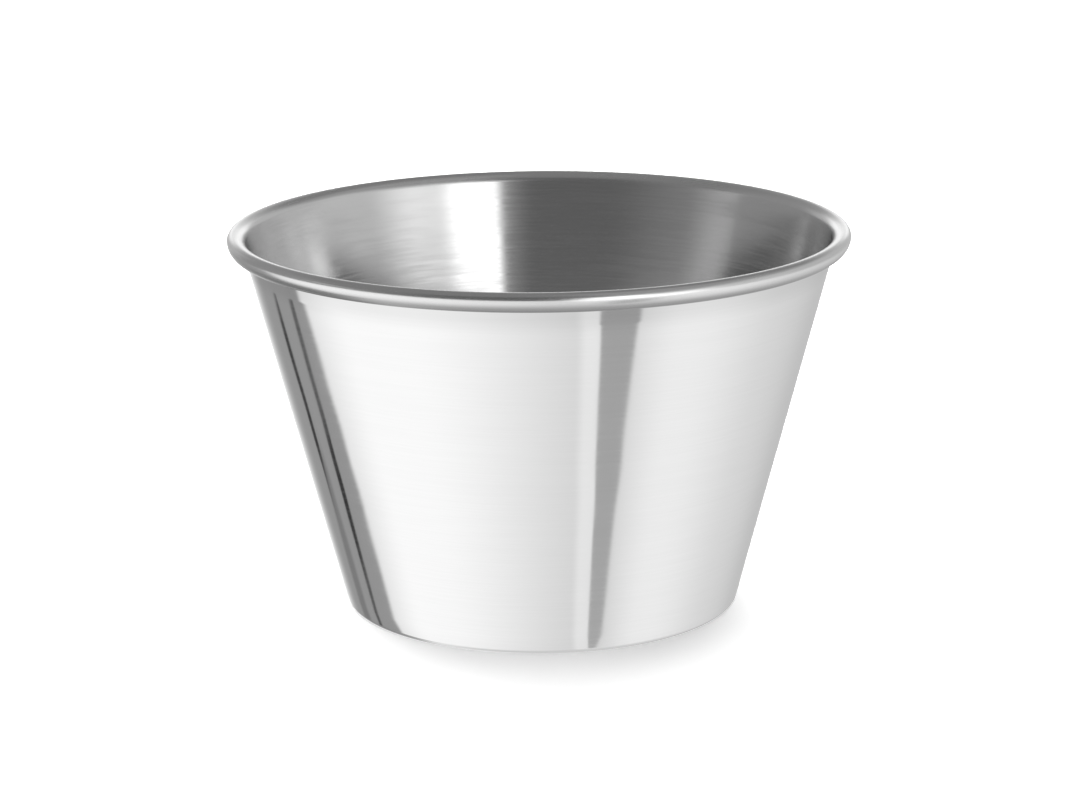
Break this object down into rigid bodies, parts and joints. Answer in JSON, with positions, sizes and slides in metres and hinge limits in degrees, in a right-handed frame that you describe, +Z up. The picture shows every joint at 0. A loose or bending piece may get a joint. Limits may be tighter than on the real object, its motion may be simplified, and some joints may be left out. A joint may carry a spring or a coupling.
{
  "type": "sauce cup",
  "caption": "Round flared stainless-steel sauce cup with a flat foot, a straight conical wall and an outward-rolled rim, for dips, dressings and condiments.",
  "frame": {"origin": "centre of the flat foot, on the table", "axes": "+Z up along the cup's axis of revolution; the cup is round, so X and Y are any two level directions, with -Y towards the camera"},
  "size_m": [0.086, 0.086, 0.053],
  "materials": {
    "steel": "stainless steel, polished bright outside with fine marks round the cup, satin with fine spun lines inside"
  },
  "bodies": {
    "root": {"cup": "steel"}
  },
  "joints": []
}
